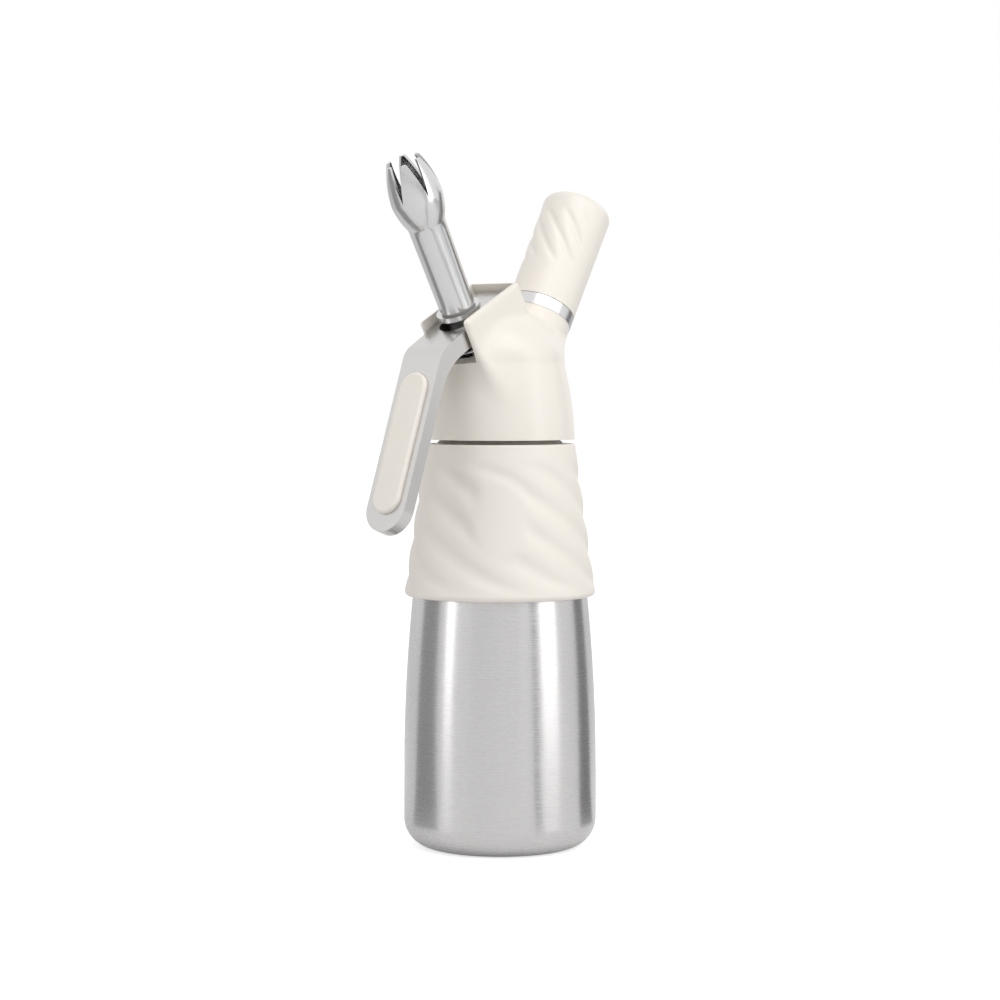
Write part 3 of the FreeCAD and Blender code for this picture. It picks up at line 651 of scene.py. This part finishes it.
for vert in shape.verts:
    radius, height, turn = around(vert)
    if radius < HOLDER_SKIN or height > HOLDER_HIGH - HOLDER_EDGE:
        continue
    above = height - FLUTE_FOOT
    notch = swirl(turn, above, FLUTES, FLUTE_PITCH, FLUTE_SHARPNESS)
    fade = ease(above, FLUTES_START, FLUTES_FULL_FROM) * (1 - ease(above, FLUTES_FULL_TO, FLUTES_END))
    fade *= 1 - ease(abs(turn - math.pi), FLUTED_HALF_TURN, SMOOTH_HALF_TURN)
    sink(vert, radius, FLUTE_DEPTH * notch * fade)
bmesh.ops.transform(shape, matrix=tilted(1, 0, 0), verts=shape.verts)
write_mesh(shape, holder.data)
stand_for(holder, "holder_shell", cream_plastic, SPUN_ANGLE)

# The floor: a plain pale sheet, which isn't part of the object. It reads white to the camera
# and through glass, shows a little in the metal, and casts no extra light.
FLOOR_HALF = 6
FLOOR_GREY = (0.85, 0.85, 0.85, 1)
FLOOR_GLOW = 0.62
FLOOR_GLOW_IN_METAL = 0.12
WHITE = (1, 1, 1, 1)


def either(tree, first, second):
    """The larger of two sockets' values."""
    node = tree.nodes.new("ShaderNodeMath")
    node.operation = "MAXIMUM"
    tree.links.new(first, node.inputs[0])
    tree.links.new(second, node.inputs[1])
    return node.outputs[0]


def times(tree, socket, factor):
    node = tree.nodes.new("ShaderNodeMath")
    node.operation = "MULTIPLY"
    node.inputs[1].default_value = factor
    tree.links.new(socket, node.inputs[0])
    return node.outputs[0]


shape = bmesh.new()
bmesh.ops.create_grid(shape, x_segments=1, y_segments=1, size=FLOOR_HALF)
floor = linked("floor", bpy.data.meshes.new("floor"))
write_mesh(shape, floor.data)
floor_material = bpy.data.materials.new("floor_white")
floor_material.use_nodes = True
tree = floor_material.node_tree
floor_shader = tree.nodes["Principled BSDF"]
floor_shader.inputs["Base Color"].default_value = FLOOR_GREY
floor_shader.inputs["Roughness"].default_value = 0.9
floor_shader.inputs["Specular IOR Level"].default_value = 0.0
rays = tree.nodes.new("ShaderNodeLightPath")
straight = either(tree, rays.outputs["Is Camera Ray"], rays.outputs["Is Transmission Ray"])
glow = either(
    tree, times(tree, straight, FLOOR_GLOW),
    times(tree, rays.outputs["Is Glossy Ray"], FLOOR_GLOW_IN_METAL))
floor_shader.inputs["Emission Color"].default_value = WHITE
tree.links.new(glow, floor_shader.inputs["Emission Strength"])
dress(floor, floor_material)

# The air round the object: even soft light from all sides, at a plain level.
# The camera, glass and metal see it white.
WORLD_LIGHT = 0.55
world = bpy.data.worlds.new("studio")
bpy.context.scene.world = world
world.use_nodes = True
tree = world.node_tree
back = tree.nodes["Background"]
back.inputs["Color"].default_value = WHITE
strength = tree.nodes.new("ShaderNodeMapRange")
strength.inputs["To Min"].default_value = WORLD_LIGHT
strength.inputs["To Max"].default_value = 1.0
rays = tree.nodes.new("ShaderNodeLightPath")
seen = either(tree, rays.outputs["Is Camera Ray"], rays.outputs["Is Transmission Ray"])
tree.links.new(either(tree, seen, rays.outputs["Is Glossy Ray"]), strength.inputs["Value"])
tree.links.new(strength.outputs["Result"], back.inputs["Strength"])

# The lamps: a wide box on the right, a narrow strip on the left and a box from above.
# Places round the object are turns from the camera's side, in degrees, and metres.
VIEW_TURN = math.radians(40)
toward = Vector((math.cos(VIEW_TURN), math.sin(VIEW_TURN), 0))
right = Vector((math.sin(VIEW_TURN), -math.cos(VIEW_TURN), 0))
middle = Vector((0, 0, 0.14))


def studio_place(turn, distance, high):
    """A place round the object: the turn is from the camera's side, positive to its right."""
    turn = math.radians(turn)
    return middle - toward * math.cos(turn) * distance + right * math.sin(turn) * distance \
        + Vector((0, 0, high))


def facing(place):
    return (middle - place).to_track_quat("-Z", "Y").to_euler()


def softbox(name, turn, distance, high, width, height, radiance):
    """A rectangular lamp whose face has the given radiance, turned to the object."""
    data = bpy.data.lights.new(name, "AREA")
    data.shape = "RECTANGLE"
    data.size = width
    data.size_y = height
    data.energy = radiance * math.pi * width * height
    light = linked(name, data)
    light.location = studio_place(turn, distance, high)
    light.rotation_euler = facing(light.location)


softbox("box_right", turn=63, distance=1.1, high=0.25, width=0.46, height=1.5, radiance=1.45)
softbox("strip_left", turn=-65, distance=1.1, high=0.25, width=0.24, height=1.5, radiance=1.5)
softbox("box_top", turn=25, distance=0.7, high=1.1, width=1.0, height=1.0, radiance=2.05)


# The grey cards: upright sheets round the object and wedges on the floor, seen only in gloss.
# They give the steel its bands.
CARD_NEAR = 0.08
CARD_FAR = 1.1
CARD_LIFT = 0.0005
BLACK = (0, 0, 0, 1)


def card_material(level):
    material = bpy.data.materials.new(f"card_{level}")
    material.use_nodes = True
    shader = material.node_tree.nodes["Principled BSDF"]
    shader.inputs["Base Color"].default_value = BLACK
    shader.inputs["Specular IOR Level"].default_value = 0.0
    shader.inputs["Emission Color"].default_value = WHITE
    shader.inputs["Emission Strength"].default_value = level
    return material


def grey_card(name, shape, level):
    card = linked(name, bpy.data.meshes.new(name))
    write_mesh(shape, card.data)
    card.visible_camera = False
    card.visible_diffuse = False
    card.visible_transmission = False
    card.visible_shadow = False
    dress(card, card_material(level))


def upright_card(name, turn, distance, high, width, height, level):
    place = studio_place(turn, distance, high)
    shape = bmesh.new()
    bmesh.ops.create_grid(shape, x_segments=1, y_segments=1, size=0.5)
    bmesh.ops.scale(shape, vec=(width, height, 1), verts=shape.verts)
    bmesh.ops.transform(
        shape, matrix=Matrix.Translation(place) @ facing(place).to_matrix().to_4x4(), verts=shape.verts)
    grey_card(name, shape, level)


def floor_card(name, near_turn, near_spread, turn, spread, level):
    """A wedge on the floor, from the object's foot out to the upright cards."""
    shape = bmesh.new()
    corners = []
    for side, reach in ((-1, CARD_NEAR), (1, CARD_NEAR), (1, CARD_FAR), (-1, CARD_FAR)):
        near = reach == CARD_NEAR
        aim = near_turn + side * near_spread / 2 if near else turn + side * spread / 2
        place = studio_place(aim, reach, 0)
        corners.append(shape.verts.new((place.x, place.y, CARD_LIFT)))
    shape.faces.new(corners)
    grey_card(name, shape, level)


upright_card("card_left", turn=-100, distance=1.1, high=0.06, width=0.62, height=0.7, level=0.36)
upright_card("card_right", turn=122, distance=1.1, high=0.06, width=0.46, height=0.7, level=0.27)
upright_card("card_notch", turn=43, distance=1.15, high=0.06, width=0.13, height=0.7, level=0.45)
upright_card("card_front", turn=-6, distance=1.7, high=0.3, width=2.0, height=2.6, level=0.85)
floor_card("floor_left", near_turn=-82, near_spread=44, turn=-99, spread=34, level=0.34)
floor_card("floor_right", near_turn=104, near_spread=32, turn=120, spread=26, level=0.25)
floor_card("floor_notch", near_turn=38, near_spread=8, turn=43, spread=6, level=0.45)

# The camera: the photograph's, level with the head and a little over a metre away.
# Its lens is long, and it looks slightly down.
CAMERA_DISTANCE = 1.1
CAMERA_HEIGHT = 0.1932
CAMERA_PITCH = math.radians(2.555)
SENSOR_WIDTH = 36
FOCAL_SHARE = 2.65
camera_data = bpy.data.cameras.new("camera")
camera_data.sensor_width = SENSOR_WIDTH
camera_data.lens = SENSOR_WIDTH * FOCAL_SHARE
camera = linked("camera", camera_data)
camera.location = -toward * CAMERA_DISTANCE + Vector((0, 0, CAMERA_HEIGHT))
look = toward * math.cos(CAMERA_PITCH) - Vector((0, 0, math.sin(CAMERA_PITCH)))
camera.rotation_euler = look.to_track_quat("-Z", "Y").to_euler()
bpy.context.scene.camera = camera
bpy.context.scene.view_settings.view_transform = "Standard"
